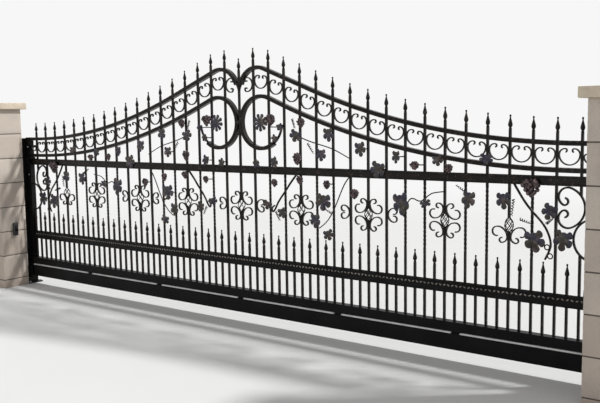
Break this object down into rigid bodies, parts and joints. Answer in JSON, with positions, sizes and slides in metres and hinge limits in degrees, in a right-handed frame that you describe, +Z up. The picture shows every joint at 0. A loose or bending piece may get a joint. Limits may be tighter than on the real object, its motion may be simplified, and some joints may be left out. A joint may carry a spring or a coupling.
{
  "type": "sliding cantilever driveway gate",
  "caption": "Wrought iron sliding driveway gate with an arched crest, spear tips, scrolls and vine leaves, between two block pillars.",
  "frame": {"origin": "centre of the flat foot of the right pillar, at ground level", "axes": "+X to the right along the gate as seen from the street, +Y into the yard, +Z up"},
  "size_m": [8.276, 0.614, 2.2249],
  "materials": {
    "black_iron": "satin",
    "leaf_patina": "satin",
    "grape_patina": "satin",
    "block_masonry": "matte",
    "cap_stone": "matte",
    "zinc_steel": "satin",
    "nylon": "matte",
    "black_plastic": "matte"
  },
  "bodies": {
    "posts": {"beam_eyes": "black_plastic", "front_carriage": "zinc_steel", "front_carriage_wheels": "nylon", "front_guide_bracket": "zinc_steel", "front_guide_roller": "nylon", "guide_post": "black_iron", "left_pillar": "block_masonry", "left_pillar_cap": "cap_stone", "lower_catch": "black_iron", "rear_carriage": "zinc_steel", "rear_carriage_wheels": "nylon", "rear_guide_bracket": "zinc_steel", "rear_guide_roller": "nylon", "receiving_post": "black_iron", "right_pillar": "block_masonry", "right_pillar_cap": "cap_stone", "upper_catch": "black_iron"},
    "leaf": {"arch_scrolls": "black_iron", "bar_scrolls": "black_iron", "basket_scrolls": "black_iron", "baskets": "black_iron", "beam_spacers": "black_iron", "box_beam": "black_iron", "carrier_track": "black_iron", "end_scrolls": "black_iron", "grape_clusters": "grape_patina", "left_lower_arch": "black_iron", "left_stile": "black_iron", "left_upper_arch": "black_iron", "long_bar_spears": "black_iron", "long_bars": "black_iron", "relief_rail": "black_iron", "right_lower_arch": "black_iron", "right_stile": "black_iron", "right_upper_arch": "black_iron", "short_bar_spears": "black_iron", "short_bars": "black_iron", "straight_rail": "black_iron", "tail_brace": "black_iron", "tail_top_rail": "black_iron", "tail_upright": "black_iron", "twisted_bars": "black_iron", "vine_leaves": "leaf_patina", "vine_stems": "black_iron"}
  },
  "joints": [
    {"name": "gate_slide", "type": "slide", "parent": "posts", "child": "leaf", "axis": [1, 0, 0], "range_m": [0, 5.7]}
  ]
}
